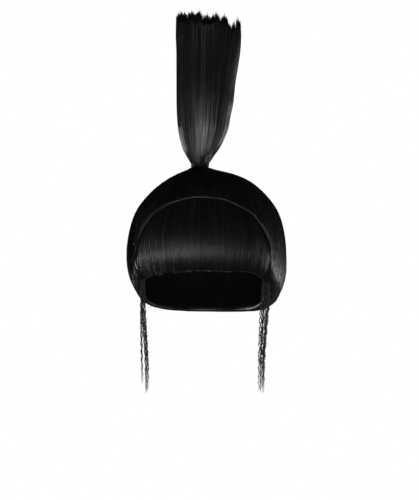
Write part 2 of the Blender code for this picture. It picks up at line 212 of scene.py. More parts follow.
# The tips of the tuft's ragged cut, in millimetres: how far aside of the wig's middle, and how high.
TUFT_TIPS = Rows(
    "aside height",
    [
        (-30.8, 181.4), (-28.6, 185.9), (-25.2, 187.0), (-20.7, 186.5), (-18.5, 184.2), (-15.1, 187.0),
        (-11.8, 189.3), (-10.1, 184.8), (-6.2, 188.2), (-2.8, 189.3), (0.0, 182.6), (2.8, 185.9),
        (6.2, 182.6), (11.2, 186.5), (12.9, 188.2), (16.2, 183.7), (20.2, 181.4), (23.0, 184.8),
        (25.2, 183.1), (27.4, 175.8), (30.8, 172.0), (34.2, 178.1), (37.4, 181.0), (38.8, 180.4),
        (41.0, 174.7),
    ],
)

# The hair bundles of each sidelock. Their middle line and half width are in millimetres.
SIDELOCKS = {
    "left": [
        (84, 0.1285, -0.0415, Rows("fall middle half", [
            (0.00, -67.0, 2.6), (0.15, -67.0, 2.7), (0.35, -66.0, 2.8), (0.50, -64.6, 2.4),
            (0.65, -63.3, 2.3), (0.80, -62.6, 2.3), (0.93, -62.6, 1.8), (1.00, -63.2, 0.9),
        ])),
        (30, 0.1180, -0.0425, Rows("fall middle half", [
            (0.00, -68.6, 1.4), (0.30, -68.9, 1.3), (0.50, -68.9, 1.1), (0.75, -68.4, 0.9),
            (1.00, -67.7, 0.7),
        ])),
    ],
    "right": [
        (112, 0.1280, -0.0490, Rows("fall middle half", [
            (0.00, 69.5, 4.4), (0.20, 68.2, 5.2), (0.35, 66.6, 4.9), (0.50, 65.6, 4.2), (0.65, 64.6, 3.7),
            (0.85, 64.0, 3.3), (1.00, 64.0, 3.0),
        ])),
        (36, 0.1180, -0.0480, Rows("fall middle half", [
            (0.00, 72.0, 1.6), (0.25, 71.0, 1.6), (0.50, 68.6, 1.3), (0.80, 66.2, 1.2), (1.00, 65.6, 1.2),
        ])),
    ],
}
SIDELOCK_ROOTS = {"left": -0.1090, "right": -0.1095}


def hair_points(azimuth, angle, share):
    """Points of the hair over the head, from two angles in degrees and a share of the thickness."""
    azimuth, angle, share = np.broadcast_arrays(azimuth, angle, share)
    turn, fall = np.radians(azimuth), np.radians(angle)
    right, ahead = np.sin(turn), np.cos(turn)
    on_right, in_front = right > 0, ahead > 0
    side = np.where(on_right, HEAD_RIGHT, HEAD_LEFT) * LEVELS.at("side", angle)
    right_hair, left_hair = HAIR_RIGHT * LEVELS.at("right", angle), HAIR_LEFT * LEVELS.at("left", angle)
    side_hair = np.where(on_right, right_hair, left_hair)
    reach = np.where(in_front, HEAD_FRONT * LEVELS.at("front", angle), HEAD_BACK * LEVELS.at("back", angle))
    front_hair, back_hair = HAIR_FRONT * LEVELS.at("fore", angle), HAIR_BACK * LEVELS.at("rear", angle)
    reach_hair = np.where(in_front, front_hair, back_hair)
    x = right * (side + share * side_hair) + share * TIE_ASIDE * LEVELS.at("shift", angle)
    y = -ahead * (reach + share * reach_hair)
    z = share * HAIR_TOP * LEVELS.at("top", angle) - HEAD_RISE * (1 - np.cos(fall))
    return np.stack([x, y, z], axis=-1)


def hair_depth(azimuth, angle):
    """How thick the hair is there, in metres."""
    return np.linalg.norm(hair_points(azimuth, angle, 1.0) - hair_points(azimuth, angle, 0.0), axis=-1)


def edge_samples(count=1680):
    """The crown's free edge, evenly spaced along the outside of the hair."""
    fine = np.linspace(0, EDGE.over[-1], 40 * len(EDGE.over))
    azimuths, angles = EDGE.at("azimuth", fine), EDGE.at("angle", fine)
    points = hair_points(azimuths, angles, 1.0)
    lengths = np.concatenate([[0], np.cumsum(np.linalg.norm(np.diff(points, axis=0), axis=1))])
    wanted = np.linspace(0, lengths[-1], count + 1)
    return np.interp(wanted, lengths, azimuths), np.interp(wanted, lengths, angles)


EDGE_AZIMUTH, EDGE_ANGLE = edge_samples()
EDGE_PLACE = np.linspace(0, 1, len(EDGE_AZIMUTH))
ARC = np.flatnonzero(EDGE_ANGLE < WINDOW_CORNER_ANGLE)
ARC_FIRST, ARC_LAST = ARC[0], ARC[-1]
SEAM_SAMPLES = int(SEAM_SHARE * len(EDGE_AZIMUTH))


def crown_angles(place, rise):
    """The flow of the combed crown: from a place along its edge up to the neck at rise 1."""
    azimuth = np.interp(place, EDGE_PLACE, EDGE_AZIMUTH)
    angle = np.interp(place, EDGE_PLACE, EDGE_ANGLE)
    knots = [0, EDGE_PLACE[ARC_FIRST], EDGE_PLACE[ARC_LAST], 1]
    lean = np.interp(place, knots, [-180, -CORNER_LEAN, CORNER_LEAN, 180])
    return azimuth + (lean - azimuth) * rise, angle + (NECK_ANGLE - angle) * rise


def fringe_angles(across, down):
    """The flow of the fringe: straight down from the arc at down 0 to its lower edge at down 1."""
    left = slice(ARC_FIRST, ARC_FIRST - SEAM_SAMPLES, -1)
    right = slice(ARC_LAST, ARC_LAST + SEAM_SAMPLES)
    arc = slice(ARC_FIRST, ARC_LAST + 1)

    def side(angle):
        on_left = np.interp(angle, EDGE_ANGLE[left], EDGE_AZIMUTH[left]) + SEAM_GAP_DEGREES
        on_right = np.interp(angle, EDGE_ANGLE[right], EDGE_AZIMUTH[right]) - SEAM_GAP_DEGREES
        return np.where(across < 0, on_left, on_right)

    start = np.abs(across) * side(np.zeros_like(across))
    outward = np.where(across < 0, -SEAM_GAP_DEGREES, SEAM_GAP_DEGREES)
    top = np.interp(start + outward, EDGE_AZIMUTH[arc], EDGE_ANGLE[arc]) + SEAM_GAP_DEGREES
    angle = top + (FRINGE_EDGE.at("angle", across) - top) * down
    return np.abs(across) * side(angle), angle


def value_noise(seed, around, along, place, rise, wraps=True):
    """Smooth noise from -1 to 1 with so many cells across the hair and so many along it."""
    grid = np.random.default_rng(seed).uniform(-1, 1, (around + 2, along + 2))
    if wraps:
        grid[around] = grid[0]
        grid[around + 1] = grid[1]
    x = np.clip(place, 0, 1) * around
    y = np.clip(rise, 0, 1) * along
    i, j = x.astype(int), y.astype(int)
    fx, fy = x - i, y - j
    fx, fy = fx * fx * (3 - 2 * fx), fy * fy * (3 - 2 * fy)
    low = grid[i, j] * (1 - fx) + grid[i + 1, j] * fx
    high = grid[i, j + 1] * (1 - fx) + grid[i + 1, j + 1] * fx
    return low * (1 - fy) + high * fy


def combed_relief(seed, levels, place, rise, wraps=True):
    """The relief of combed hair in metres: locks within locks, all drawn out along the hair."""
    total = np.zeros(np.broadcast(place, rise).shape)
    for k, (around, along, height) in enumerate(levels):
        total = total + height * value_noise(seed + 7 * k, around, along, place, rise, wraps)
    return total


def add_mesh(name, points, faces, materials, flow=None, smooth=True):
    """A mesh object with its faces turned outwards and, if given, a flow UV for each point."""
    mesh = bpy.data.meshes.new(name)
    mesh.from_pydata(np.asarray(points, np.float32), [], faces)
    for material in materials:
        mesh.materials.append(material)
    if smooth:
        mesh.shade_smooth()
    piece = bpy.data.objects.new(name, mesh)
    bpy.context.scene.collection.objects.link(piece)
    if flow is not None:
        layer = mesh.uv_layers.new(name="flow")
        loops = np.zeros(len(mesh.loops), np.int32)
        mesh.loops.foreach_get("vertex_index", loops)
        layer.data.foreach_set("uv", np.asarray(flow, np.float32)[loops].ravel())
    return piece


def ring_faces(rows, columns, first=0):
    """Quads between closed rings, and the indices of the first and last ring."""
    c = np.arange(columns)
    beside = (c + 1) % columns
    quads = []
    for r in range(rows - 1):
        low, high = first + r * columns, first + (r + 1) * columns
        quads.append(np.stack([low + c, low + beside, high + beside, high + c], axis=1))
    return np.concatenate(quads).tolist()


def turned_out(piece):
    """Turns a closed piece's faces outwards, by the sign of its volume."""
    mesh = piece.data
    mesh.calc_loop_triangles()
    points = np.zeros(len(mesh.vertices) * 3, np.float32)
    triangles = np.zeros(len(mesh.loop_triangles) * 3, np.int32)
    mesh.vertices.foreach_get("co", points)
    mesh.loop_triangles.foreach_get("vertices", triangles)
    a, b, c = (points.reshape(-1, 3).astype(float)[triangles.reshape(-1, 3)[:, k]] for k in range(3))
    if np.einsum("ij,ij->i", a, np.cross(b, c)).sum() < 0:
        mesh.flip_normals()
    return piece


def strand_tree():
    """Geometry nodes that turn guide lines into closed thin strands."""
    tree = bpy.data.node_groups.new("strands_from_lines", "GeometryNodeTree")
    sockets = {}
    for label, kind in (
        ("Lines", "NodeSocketGeometry"), ("Sides", "NodeSocketInt"), ("Thickness", "NodeSocketFloat"),
        ("Hair", "NodeSocketMaterial"),
    ):
        sockets[label] = tree.interface.new_socket(label, in_out="INPUT", socket_type=kind).identifier
    tree.interface.new_socket("Strands", in_out="OUTPUT", socket_type="NodeSocketGeometry")
    add, link = tree.nodes.new, tree.links.new
    given, made = add("NodeGroupInput"), add("NodeGroupOutput")

    lines = add("GeometryNodeMeshToCurve")
    link(given.outputs["Lines"], lines.inputs["Mesh"])
    thick = add("GeometryNodeInputNamedAttribute")
    thick.data_type = "FLOAT"
    thick.inputs["Name"].default_value = "thickness"
    scale = add("ShaderNodeMath")
    scale.operation = "MULTIPLY"
    link(thick.outputs["Attribute"], scale.inputs[0])
    link(given.outputs["Thickness"], scale.inputs[1])
    profile = add("GeometryNodeCurvePrimitiveCircle")
    profile.inputs["Radius"].default_value = 1.0
    link(given.outputs["Sides"], profile.inputs["Resolution"])
    tubes = add("GeometryNodeCurveToMesh")
    tubes.inputs["Fill Caps"].default_value = True
    link(lines.outputs["Curve"], tubes.inputs["Curve"])
    link(profile.outputs["Curve"], tubes.inputs["Profile Curve"])
    link(scale.outputs["Value"], tubes.inputs["Scale"])
    smooth = add("GeometryNodeSetShadeSmooth")
    link(tubes.outputs["Mesh"], smooth.inputs["Geometry"])
    real = add("GeometryNodeRealizeInstances")
    link(smooth.outputs["Geometry"], real.inputs["Geometry"])
    dressed = add("GeometryNodeSetMaterial")
    link(real.outputs["Geometry"], dressed.inputs["Geometry"])
    link(given.outputs["Hair"], dressed.inputs["Material"])
    link(dressed.outputs["Geometry"], made.inputs["Strands"])
    return tree, sockets


def add_strands(name, paths, thickness, tone, material, sides=3):
    """Strands along paths (strand, point, xyz), as one plain mesh made by the strand tree."""
    count, steps = paths.shape[:2]
    lines = bpy.data.meshes.new(name + "_lines")
    starts = (np.arange(count) * steps)[:, None] + np.arange(steps - 1)
    edges = np.stack([starts.ravel(), starts.ravel() + 1], axis=1)
    lines.from_pydata(paths.reshape(-1, 3).astype(np.float32), edges.tolist(), [])
    for label, values in (("thickness", thickness), ("tone", tone)):
        layer = lines.attributes.new(label, "FLOAT", "POINT")
        layer.data.foreach_set("value", np.broadcast_to(values, (count, steps)).ravel().astype(np.float32))
    guide = bpy.data.objects.new(name + "_lines", lines)
    bpy.context.scene.collection.objects.link(guide)
    tree, sockets = strand_tree()
    growth = guide.modifiers.new("strands", "NODES")
    growth.node_group = tree
    growth[sockets["Sides"]] = sides
    growth[sockets["Thickness"]] = 1.0
    growth[sockets["Hair"]] = material
    bpy.context.view_layer.update()
    grown = guide.evaluated_get(bpy.context.evaluated_depsgraph_get())
    mesh = bpy.data.meshes.new_from_object(grown)
    mesh.name = name
    bpy.data.objects.remove(guide, do_unlink=True)
    bpy.data.node_groups.remove(tree)
    piece = bpy.data.objects.new(name, mesh)
    bpy.context.scene.collection.objects.link(piece)
    return piece


def hair_shader(name, colour, roughness, specular=0.5, anisotropy=0.0):
    """A new material and its Principled shader with the constants set on the shader itself."""
    material = bpy.data.materials.new(name)
    material.use_nodes = True
    nodes = material.node_tree.nodes
    shader = nodes["Principled BSDF"]
    shader.inputs["Base Color"].default_value = (*colour, 1.0)
    shader.inputs["Roughness"].default_value = roughness
    shader.inputs["Specular IOR Level"].default_value = specular
    shader.inputs["Anisotropic"].default_value = anisotropy
    return material, nodes, material.node_tree.links.new, shader


def add_streaks(nodes, link, vector, scale, detail=3.0):
    """Noise drawn out along the hair: scale holds the streaks across and along the flow."""
    stretch = nodes.new("ShaderNodeMapping")
    stretch.inputs["Scale"].default_value = (*scale, 1.0)
    link(vector, stretch.inputs["Vector"])
    noise = nodes.new("ShaderNodeTexNoise")
    noise.inputs["Scale"].default_value = 1.0
    noise.inputs["Detail"].default_value = detail
    noise.inputs["Roughness"].default_value = 0.6
    link(stretch.outputs["Vector"], noise.inputs["Vector"])
    return noise.outputs["Fac"]


def add_ramp(nodes, link, source, stops):
    """A colour ramp over a value, from places and colours."""
    ramp = nodes.new("ShaderNodeValToRGB")
    while len(ramp.color_ramp.elements) < len(stops):
        ramp.color_ramp.elements.new(0.5)
    for element, (place, colour) in zip(ramp.color_ramp.elements, stops):
        element.position = place
        element.color = (*colour, 1.0)
    link(source, ramp.inputs["Fac"])
    return ramp.outputs["Color"]


def add_range(nodes, link, source, low, high):
    """The middle half of a noise, spread from low to high."""
    span = nodes.new("ShaderNodeMapRange")
    span.inputs["From Min"].default_value = 0.25
    span.inputs["From Max"].default_value = 0.75
    span.inputs["To Min"].default_value = low
    span.inputs["To Max"].default_value = high
    link(source, span.inputs["Value"])
    return span.outputs["Result"]


def combed_hair(name, settings, strands_across, waves_along):
    """Sleek combed synthetic hair: fine streaks along the flow in its colour, gloss and relief."""
    material, nodes, link, shader = hair_shader(
        name, settings.colour, settings.roughness, settings.specular, settings.anisotropy
    )
    flow = nodes.new("ShaderNodeUVMap")
    flow.uv_map = "flow"
    uv = flow.outputs["UV"]
    fine = add_streaks(nodes, link, uv, (strands_across, waves_along))
    broad = add_streaks(nodes, link, uv, (strands_across / 7, waves_along / 2), 2.0)
    dark = tuple(STREAK_DARK * c for c in settings.colour)
    pale = tuple(STREAK_PALE * c for c in settings.colour)
    link(add_ramp(nodes, link, fine, [(0.3, dark), (0.72, pale)]), shader.inputs["Base Color"])
    link(add_range(nodes, link, broad, settings.roughness - 0.08, settings.roughness + 0.12),
         shader.inputs["Roughness"])
    grooves = nodes.new("ShaderNodeBump")
    grooves.inputs["Strength"].default_value = GROOVE_STRENGTH
    grooves.inputs["Distance"].default_value = GROOVE_DEPTH
    link(fine, grooves.inputs["Height"])
    link(grooves.outputs["Normal"], shader.inputs["Normal"])
    across = nodes.new("ShaderNodeTangent")
    across.direction_type = "UV_MAP"
    across.uv_map = "flow"
    link(across.outputs["Tangent"], shader.inputs["Tangent"])
    return material


def strand_hair(name, settings, dark, pale):
    """A single strand's fibre: its colour goes from dark to pale with the strand's own tone."""
    material, nodes, link, shader = hair_shader(
        name, settings.colour, settings.strand_roughness, settings.specular
    )
    tone = nodes.new("ShaderNodeAttribute")
    tone.attribute_name = "tone"
    low = tuple(dark * c for c in settings.colour)
    high = tuple(pale * c for c in settings.colour)
    link(add_ramp(nodes, link, tone.outputs["Fac"], [(0.0, low), (1.0, high)]), shader.inputs["Base Color"])
    return material


class WigHairSettings(bpy.types.PropertyGroup):
    """The hair's colour and gloss."""

    colour: bpy.props.FloatVectorProperty(
        name="Colour", description="Base colour of the hair", subtype="COLOR", size=3, min=0, max=1,
        default=(0.0024, 0.0024, 0.0026),
    )
    roughness: bpy.props.FloatProperty(
        name="Roughness", description="Roughness of the combed surface", default=0.36, min=0.1, max=1,
        subtype="FACTOR",
    )
    strand_roughness: bpy.props.FloatProperty(
        name="Strand Roughness", description="Roughness of the single strands", default=0.37, min=0.1, max=1,
        subtype="FACTOR",
    )
    specular: bpy.props.FloatProperty(
        name="Specular", description="Specular level of the fibre", default=0.42, min=0, max=1,
        subtype="FACTOR",
    )
    anisotropy: bpy.props.FloatProperty(
        name="Anisotropy", description="How far the gloss spreads across the hair", default=0.6, min=0, max=1,
        subtype="FACTOR",
    )


class WigStrandSettings(bpy.types.PropertyGroup):
    """How many strands lie on each piece, and how thick they are."""

    crown_count: bpy.props.IntProperty(
        name="Crown Strands", description="Strands combed over the crown", default=1400, min=10,
    )
    fringe_count: bpy.props.IntProperty(
        name="Fringe Strands", description="Strands of the fringe", default=1700, min=10,
    )
    tuft_count: bpy.props.IntProperty(
        name="Tuft Strands", description="Strands round the top tuft", default=1250, min=10,
    )
    tip_count: bpy.props.IntProperty(
        name="Tuft Tips", description="Strand tips that fill the tuft's cut top", default=1900, min=10,
    )
    thickness: bpy.props.FloatProperty(
        name="Strand Radius", description="Half thickness of a combed strand", default=0.00026,
        min=0.00005, max=0.002, unit="LENGTH", precision=5,
    )
    wisp_thickness: bpy.props.FloatProperty(
        name="Wisp Radius", description="Half thickness of a loose sidelock hair", default=0.00012,
        min=0.00003, max=0.001, unit="LENGTH", precision=5,
    )


class WigStageSettings(bpy.types.PropertyGroup):
    """The floor, the lights and the backdrop."""

    floor_drop: bpy.props.FloatProperty(
        name="Floor Drop", description="How far the floor lies under the top of the head", default=1.5,
        min=0.3, max=3, unit="LENGTH",
    )
    floor_radius: bpy.props.FloatProperty(
        name="Floor Radius", description="Radius of the round floor", default=15.0, min=0.5, max=20,
        unit="LENGTH",
    )
    key_power: bpy.props.FloatProperty(
        name="Front Light", description="Power of the low light in front", default=19, min=0,
    )
    side_power: bpy.props.FloatProperty(
        name="Side Lights", description="Power of the lights at the sides", default=9, min=0,
    )
    back_power: bpy.props.FloatProperty(
        name="Back Light", description="Power of the faint light behind", default=0.8, min=0,
    )
    gloss_backdrop: bpy.props.FloatProperty(
        name="Backdrop in the Gloss", description="How bright the backdrop is in the hair's gloss",
        default=0.02, min=0, max=1,
    )


class WigSettings(bpy.types.PropertyGroup):
    """All settings of the wig."""

    hair: bpy.props.PointerProperty(type=WigHairSettings)
    strands: bpy.props.PointerProperty(type=WigStrandSettings)
    stage: bpy.props.PointerProperty(type=WigStageSettings)


# The relief of the combed hair: cells across it, cells along it and the height of each in metres.
CROWN_RELIEF = [(26, 2, 0.00070), (76, 3, 0.00042), (190, 3, 0.00026), (430, 4, 0.00013)]
FRINGE_RELIEF = [
    (18, 2, 0.00030), (62, 2, 0.00048), (108, 2, 0.00036), (190, 3, 0.00020), (340, 3, 0.00010),
]
TUFT_RELIEF = [(13, 1, 0.0003), (44, 2, 0.00045), (104, 2, 0.00034), (220, 3, 0.00018)]


def crown_relief(place, rise):
    """Relief of the combed crown in metres, finer where the hair gathers."""
    gather = np.interp(rise, [-EDGE_ROLL, 0, 0.5, 0.8, 0.95, 1], [0.3, 1, 0.9, 0.6, 0.35, 0.25])
    return gather * combed_relief(11, CROWN_RELIEF, place, np.clip(rise, 0, 1))


def crown_surface_points(place, rise, lift):
    """The outside of the crown. Rise is below 0 where the hair rolls in at its edge, and 1 at the tie."""
    rolled = np.clip(-rise / EDGE_ROLL, 0, 1)
    flow = np.where(rise < 0, -EDGE_BULGE * np.sin(math.pi * rolled) ** 0.6, rise)
    azimuth, angle = crown_angles(place, flow)
    depth = hair_depth(azimuth, angle)
    rounding = EDGE_ROUNDING * np.exp(-np.maximum(rise, 0) / EDGE_ROUNDING_REACH) / depth
    rounding = rounding * (1 + EDGE_UNEVENNESS * value_noise(77, 130, 1, place, 0 * place))
    share = (1 - rounding) * (1 - EDGE_CLOSING * rolled) + (crown_relief(place, rise) + lift) / depth
    points = hair_points(azimuth, angle, share)
    gathered = np.clip((rise - NECK_START) / (1 - NECK_START), 0, 1)
    gathered = (gathered * gathered * (3 - 2 * gathered))[..., None]
    turn = np.radians(crown_angles(place, np.ones_like(rise))[0])
    girth = TIE_GIRTH - NECK_TUCK + crown_relief(place, rise) + lift
    neck = np.stack([TIE_ASIDE + girth * np.sin(turn), -girth * np.cos(turn),
                     np.full_like(turn, TIE_FOOT + NECK_TUCK)], axis=-1)
    return (1 - gathered) * points + gathered * neck


def build_crown(settings):
    """The combed crown: outside, rolled edge, inside and gathered neck in one closed piece."""
    columns = 640
    place = np.arange(columns) / columns
    rings, flow = [], []

    def add_ring(points, along):
        rings.append(points)
        flow.append(np.stack([place, np.full(columns, along)], axis=1))

    for rise in (0.985, 0.94, 0.86, 0.74, 0.60, 0.44, 0.28, 0.14, 0.04):
        azimuth, angle = crown_angles(place, np.full(columns, rise))
        add_ring(hair_points(azimuth, angle, 0.0), -EDGE_ROLL - rise)
    rolled = -EDGE_ROLL * np.array([1.0, 0.86, 0.70, 0.54, 0.38, 0.24, 0.12, 0.04])
    outside = np.concatenate([[0.002, 0.006, 0.012, 0.020, 0.032], np.linspace(0.045, 1.0, 86)])
    for rise in np.concatenate([rolled, outside]):
        add_ring(crown_surface_points(place, np.full(columns, rise), 0.0), rise)
    turn = np.radians(crown_angles(place, np.ones(columns))[0])
    for height in (TIE_FOOT + 0.0005, NECK_TOP):
        ring = np.stack([TIE_ASIDE + NECK_RADIUS * np.sin(turn), -NECK_RADIUS * np.cos(turn),
                         np.full(columns, height)], axis=1)
        add_ring(ring, 1.0)
    points = np.concatenate(rings + [[(0, 0, 0), (TIE_ASIDE, 0, NECK_TOP)]])
    flow = np.concatenate(flow + [[(0.5, -1.0), (0.5, 1.0)]])
    faces = ring_faces(len(rings), columns)
    last = (len(rings) - 1) * columns
    for i in range(columns):
        j = (i + 1) % columns
        faces.append((len(points) - 2, j, i))
        faces.append((len(points) - 1, last + i, last + j))
    hair = combed_hair("combed_crown_hair", settings, 900.0, 5.0)
    return turned_out(add_mesh("combed_crown", points, faces, [hair], flow))


def build_crown_strands(settings, strands):
    """Single strands combed over the crown, from its edge or part of the way up to the tie."""
    rng = np.random.default_rng(21)
    count = strands.crown_count
    start_place = (np.arange(count) + rng.uniform(0, 1, count)) / count
    from_edge = rng.uniform(0, 1, count) < CROWN_FROM_EDGE
    low = np.where(from_edge, -EDGE_ROLL * rng.uniform(0.25, 0.9, count), rng.uniform(0.02, 0.5, count))
    high = np.where(rng.uniform(0, 1, count) < CROWN_TO_TIE, 1.0, rng.uniform(0.55, 0.97, count))
    round_edge = np.array([1.0, 0.6, 0.25, 0.0])
    first = np.where(from_edge, 0.014, low)
    start = np.where(from_edge[:, None], low[:, None] * round_edge, low[:, None] - 0.006 * round_edge)
    along = np.linspace(0, 1, 15)
    rise = np.concatenate([start, (first + 0.004)[:, None] + (high - first - 0.004)[:, None] * along], axis=1)
    share = np.linspace(0, 1, rise.shape[1])
    wander = np.where(rng.uniform(0, 1, count) < CROWN_STRAYS, 0.004, 0.0006) * rng.normal(0, 1, count)
    place = (start_place[:, None] + wander[:, None] * np.sin(math.pi * share)) % 1.0
    gather = np.interp(rise, [0, 0.6, 0.9, 1], [1, 0.8, 0.5, 0.38])
    ends = np.minimum(1, np.minimum(share, 1 - share) * 9)
    lift = 0.00010 + 0.00016 * rng.uniform(0, 1, count)[:, None] + 0.025 * np.abs(wander)[:, None]
    lift = lift * ends - 0.0003 * (1 - ends)
    paths = crown_surface_points(place, rise, lift)
    thickness = strands.thickness * rng.uniform(0.6, 1.15, count)[:, None] * gather * (0.3 + 0.7 * ends)
    tone = rng.uniform(0, 1, count)[:, None] ** TONE_BIAS
    fibre = strand_hair("crown_fibre", settings, 0.4, 3.4)
    return add_strands("crown_strands", paths, thickness, tone, fibre)


def fringe_relief(across, down):
    """Relief of the combed fringe in metres, shallow under the arc."""
    depth = np.interp(down, [0, 0.1, 0.9, 1, 1.1], [0.35, 0.9, 1.0, 0.8, 0.6])
    return depth * combed_relief(31, FRINGE_RELIEF, (across + 1) / 2, np.clip(down, 0, 1), False)


def fringe_points(across, down, lift):
    """Points of the fringe's outside, and beyond its lower edge where its cut tips curl in."""
    held = np.clip(down, 0, 1)
    azimuth, angle = fringe_angles(across, held)
    thin = 1 - (1 - FRINGE_SIDE_SHARE) * np.abs(across) ** 6
    raised = (fringe_relief(across, down) + lift) / hair_depth(azimuth, angle)
    share = thin * FRINGE_PUFF.at("outside", held) + raised
    points = hair_points(azimuth, angle, share)
    beyond = np.maximum(down - 1, 0)[..., None]
    inwards = np.stack([-0.10 * points[..., 0], 0.35 + 0 * held, -0.95 + 0 * held], axis=-1)
    return points + beyond * FRINGE_FALL * inwards


def build_fringe(settings):
    """The body of the fringe: a thick puffed sheet with combed relief, closed on all sides."""
    columns, rows = 400, 70
    across = np.linspace(-1, 1, columns)
    outside, inside, flow_out, flow_in = [], [], [], []
    for r in range(rows):
        down = r / (rows - 1)
        down = down + 0.25 * down * (1 - down)
        level = np.full(columns, down)
        outside.append(fringe_points(across, level, 0.0))
        flow_out.append(np.stack([(across + 1) / 2, level], axis=1))
    inner_rows = 12
    for r in range(inner_rows):
        down = 1 - r / (inner_rows - 1)
        level = np.full(columns, down)
        azimuth, angle = fringe_angles(across, level)
        thin = 1 - (1 - FRINGE_SIDE_SHARE) * np.abs(across) ** 6
        inside.append(hair_points(azimuth, angle, thin * FRINGE_PUFF.at("inside", level)))
        flow_in.append(np.stack([(across + 1) / 2, 2 - level], axis=1))
    loops = np.stack(outside + inside)
    flow = np.stack(flow_out + flow_in)
    total = len(loops)
    points = loops.reshape(-1, 3)
    faces = []
    c = np.arange(columns - 1)
    for r in range(total):
        low, high = r * columns, (r + 1) % total * columns
        faces += np.stack([low + c, low + c + 1, high + c + 1, high + c], axis=1).tolist()
    faces.append([r * columns for r in range(total)])
    faces.append([r * columns + columns - 1 for r in reversed(range(total))])
    hair = combed_hair("combed_fringe_hair", settings, 420.0, 4.0)
    return turned_out(add_mesh("combed_fringe", points, faces, [hair], flow.reshape(-1, 2)))


def build_fringe_strands(settings, strands):
    """Single strands of the fringe, from under the arc to tips cut a little unevenly."""
    rng = np.random.default_rng(41)
    count, steps = strands.fringe_count, 13
    start = np.linspace(-FRINGE_HALF_WIDTH, FRINGE_HALF_WIDTH, count) + rng.normal(0, 0.0008, count)
    lock = (np.floor((start + 1) / 2 * FRINGE_LOCKS) + 0.5) / FRINGE_LOCKS * 2 - 1
    along = np.linspace(0, 1, steps)
    low = np.where(rng.uniform(0, 1, count) < 0.8, 0.004, rng.uniform(0.02, 0.5, count))
    lock_tip = np.random.default_rng(43).uniform(-0.006, 0.014, FRINGE_LOCKS + 1)
    tip = FRINGE_TIP + lock_tip[np.clip(((start + 1) / 2 * FRINGE_LOCKS).astype(int), 0, FRINGE_LOCKS)]
    tip = tip + rng.normal(0, 0.006, count) - 0.30 * np.abs(start - lock)
    down = low[:, None] + (tip - low)[:, None] * along ** 0.85
    drawn = (0.35 * rng.uniform(0.2, 1, count))[:, None] * np.clip((down - 0.72) / 0.28, 0, 1) ** 2
    across = start[:, None] + (lock - start)[:, None] * drawn
    ends = np.minimum(1, (1 - along) * 8)
    over_seam = 0.0007 * np.clip((np.abs(start) - 0.97) / 0.03, 0, 1)[:, None]
    lift = 0.00006 + 0.00022 * rng.uniform(0, 1, count)[:, None] - 0.0003 * (1 - np.minimum(1, along * 9))
    paths = fringe_points(across, down, lift + over_seam)
    thickness = strands.thickness * rng.uniform(0.6, 1.1, count)[:, None] * (0.25 + 0.75 * ends)
    tone = rng.uniform(0, 1, count)[:, None] ** TONE_BIAS
    fibre = strand_hair("fringe_fibre", settings, 0.4, 3.4)
    return add_strands("fringe_strands", paths, thickness, tone, fibre)


def tuft_section(turn, rise, shrink):
    """Where the tuft's section is at a share of its height: sideways from its middle, and backwards."""
    right, ahead = np.sin(turn), np.cos(turn)
    half = np.where(right > 0, TUFT_RIGHT * TUFT.at("right", rise), TUFT_LEFT * TUFT.at("left", rise))
    return right * half * shrink, -ahead * TUFT_DEPTH * TUFT.at("depth", rise) * shrink


def tuft_cut(turn, shrink):
    """The height of the ragged cut over a place of the tuft's section."""
    aside, _ = tuft_section(turn, np.ones_like(turn), shrink)
    return 0.001 * np.interp(1000 * (TIE_ASIDE + aside), TUFT_TIPS.over, TUFT_TIPS.values[:, 1])


def tuft_points(turn, rise, shrink, lift, top):
    """Points of the tuft, at a turn round it and at shares of its top's height and of its section."""
    place = turn / (2 * math.pi) % 1.0
    grown = np.interp(rise, [0, 0.05, 0.3, 1], [0.2, 0.45, 0.8, 1.0])
    outwards = (grown * combed_relief(51, TUFT_RELIEF, place, rise) + lift) / TUFT_DEPTH
    aside, back = tuft_section(turn, rise, shrink + outwards)
    z = TUFT_SKIRT + rise * (top - TUFT_SKIRT)
    return np.stack([TIE_ASIDE + aside, back, z + 0 * aside], axis=-1)


def build_tuft(settings):
    """The body of the tuft: combed sides and a top that lies under the tips of its strands."""
    columns, rows = 380, 70
    place = np.arange(columns) / columns
    turn = 2 * math.pi * place
    rings, flow = [], []

    def add_ring(points, along):
        rings.append(points)
        flow.append(np.stack([place, np.full(columns, along)], axis=1))

    def top_under_tips(shrink, seed):
        nearby = [tuft_cut(turn, shrink * k) for k in (0.8, 0.9, 1.0)]
        rough = 0.0025 * value_noise(seed, 30, 1, place, 0 * place)
        return np.mean(nearby, axis=0) - TUFT_BODY_DROP + rough

    for height in (TUFT_FOOT, TUFT_SKIRT - 0.0003):
        foot = np.stack([TIE_ASIDE + NECK_RADIUS * np.sin(turn), -NECK_RADIUS * np.cos(turn),
                         np.full(columns, height)], axis=1)
        add_ring(foot, 0.0)
    for r in range(rows):
        rise = (r / (rows - 1)) ** 1.2
        add_ring(tuft_points(turn, np.full(columns, rise), 1.0, 0.0, top_under_tips(1.0, 61)), rise)
    for ring, shrink in enumerate((0.90, 0.74, 0.52, 0.30, 0.12)):
        add_ring(tuft_points(turn, np.ones(columns), shrink, 0.0, top_under_tips(shrink, 65 + ring)), 1.0)
    peak = float(top_under_tips(0.0, 61).mean())
    points = np.concatenate(rings + [[(TIE_ASIDE, 0, TUFT_FOOT), (TIE_ASIDE, 0, peak)]])
    flow = np.concatenate(flow + [[(0.5, 0.0), (0.5, 1.0)]])
    faces = ring_faces(len(rings), columns)
    last = (len(rings) - 1) * columns
    for i in range(columns):
        j = (i + 1) % columns
        faces.append((len(points) - 2, j, i))
        faces.append((len(points) - 1, last + i, last + j))
    hair = combed_hair("combed_tuft_hair", settings, 260.0, 4.0)
    return turned_out(add_mesh("combed_tuft", points, faces, [hair], flow))


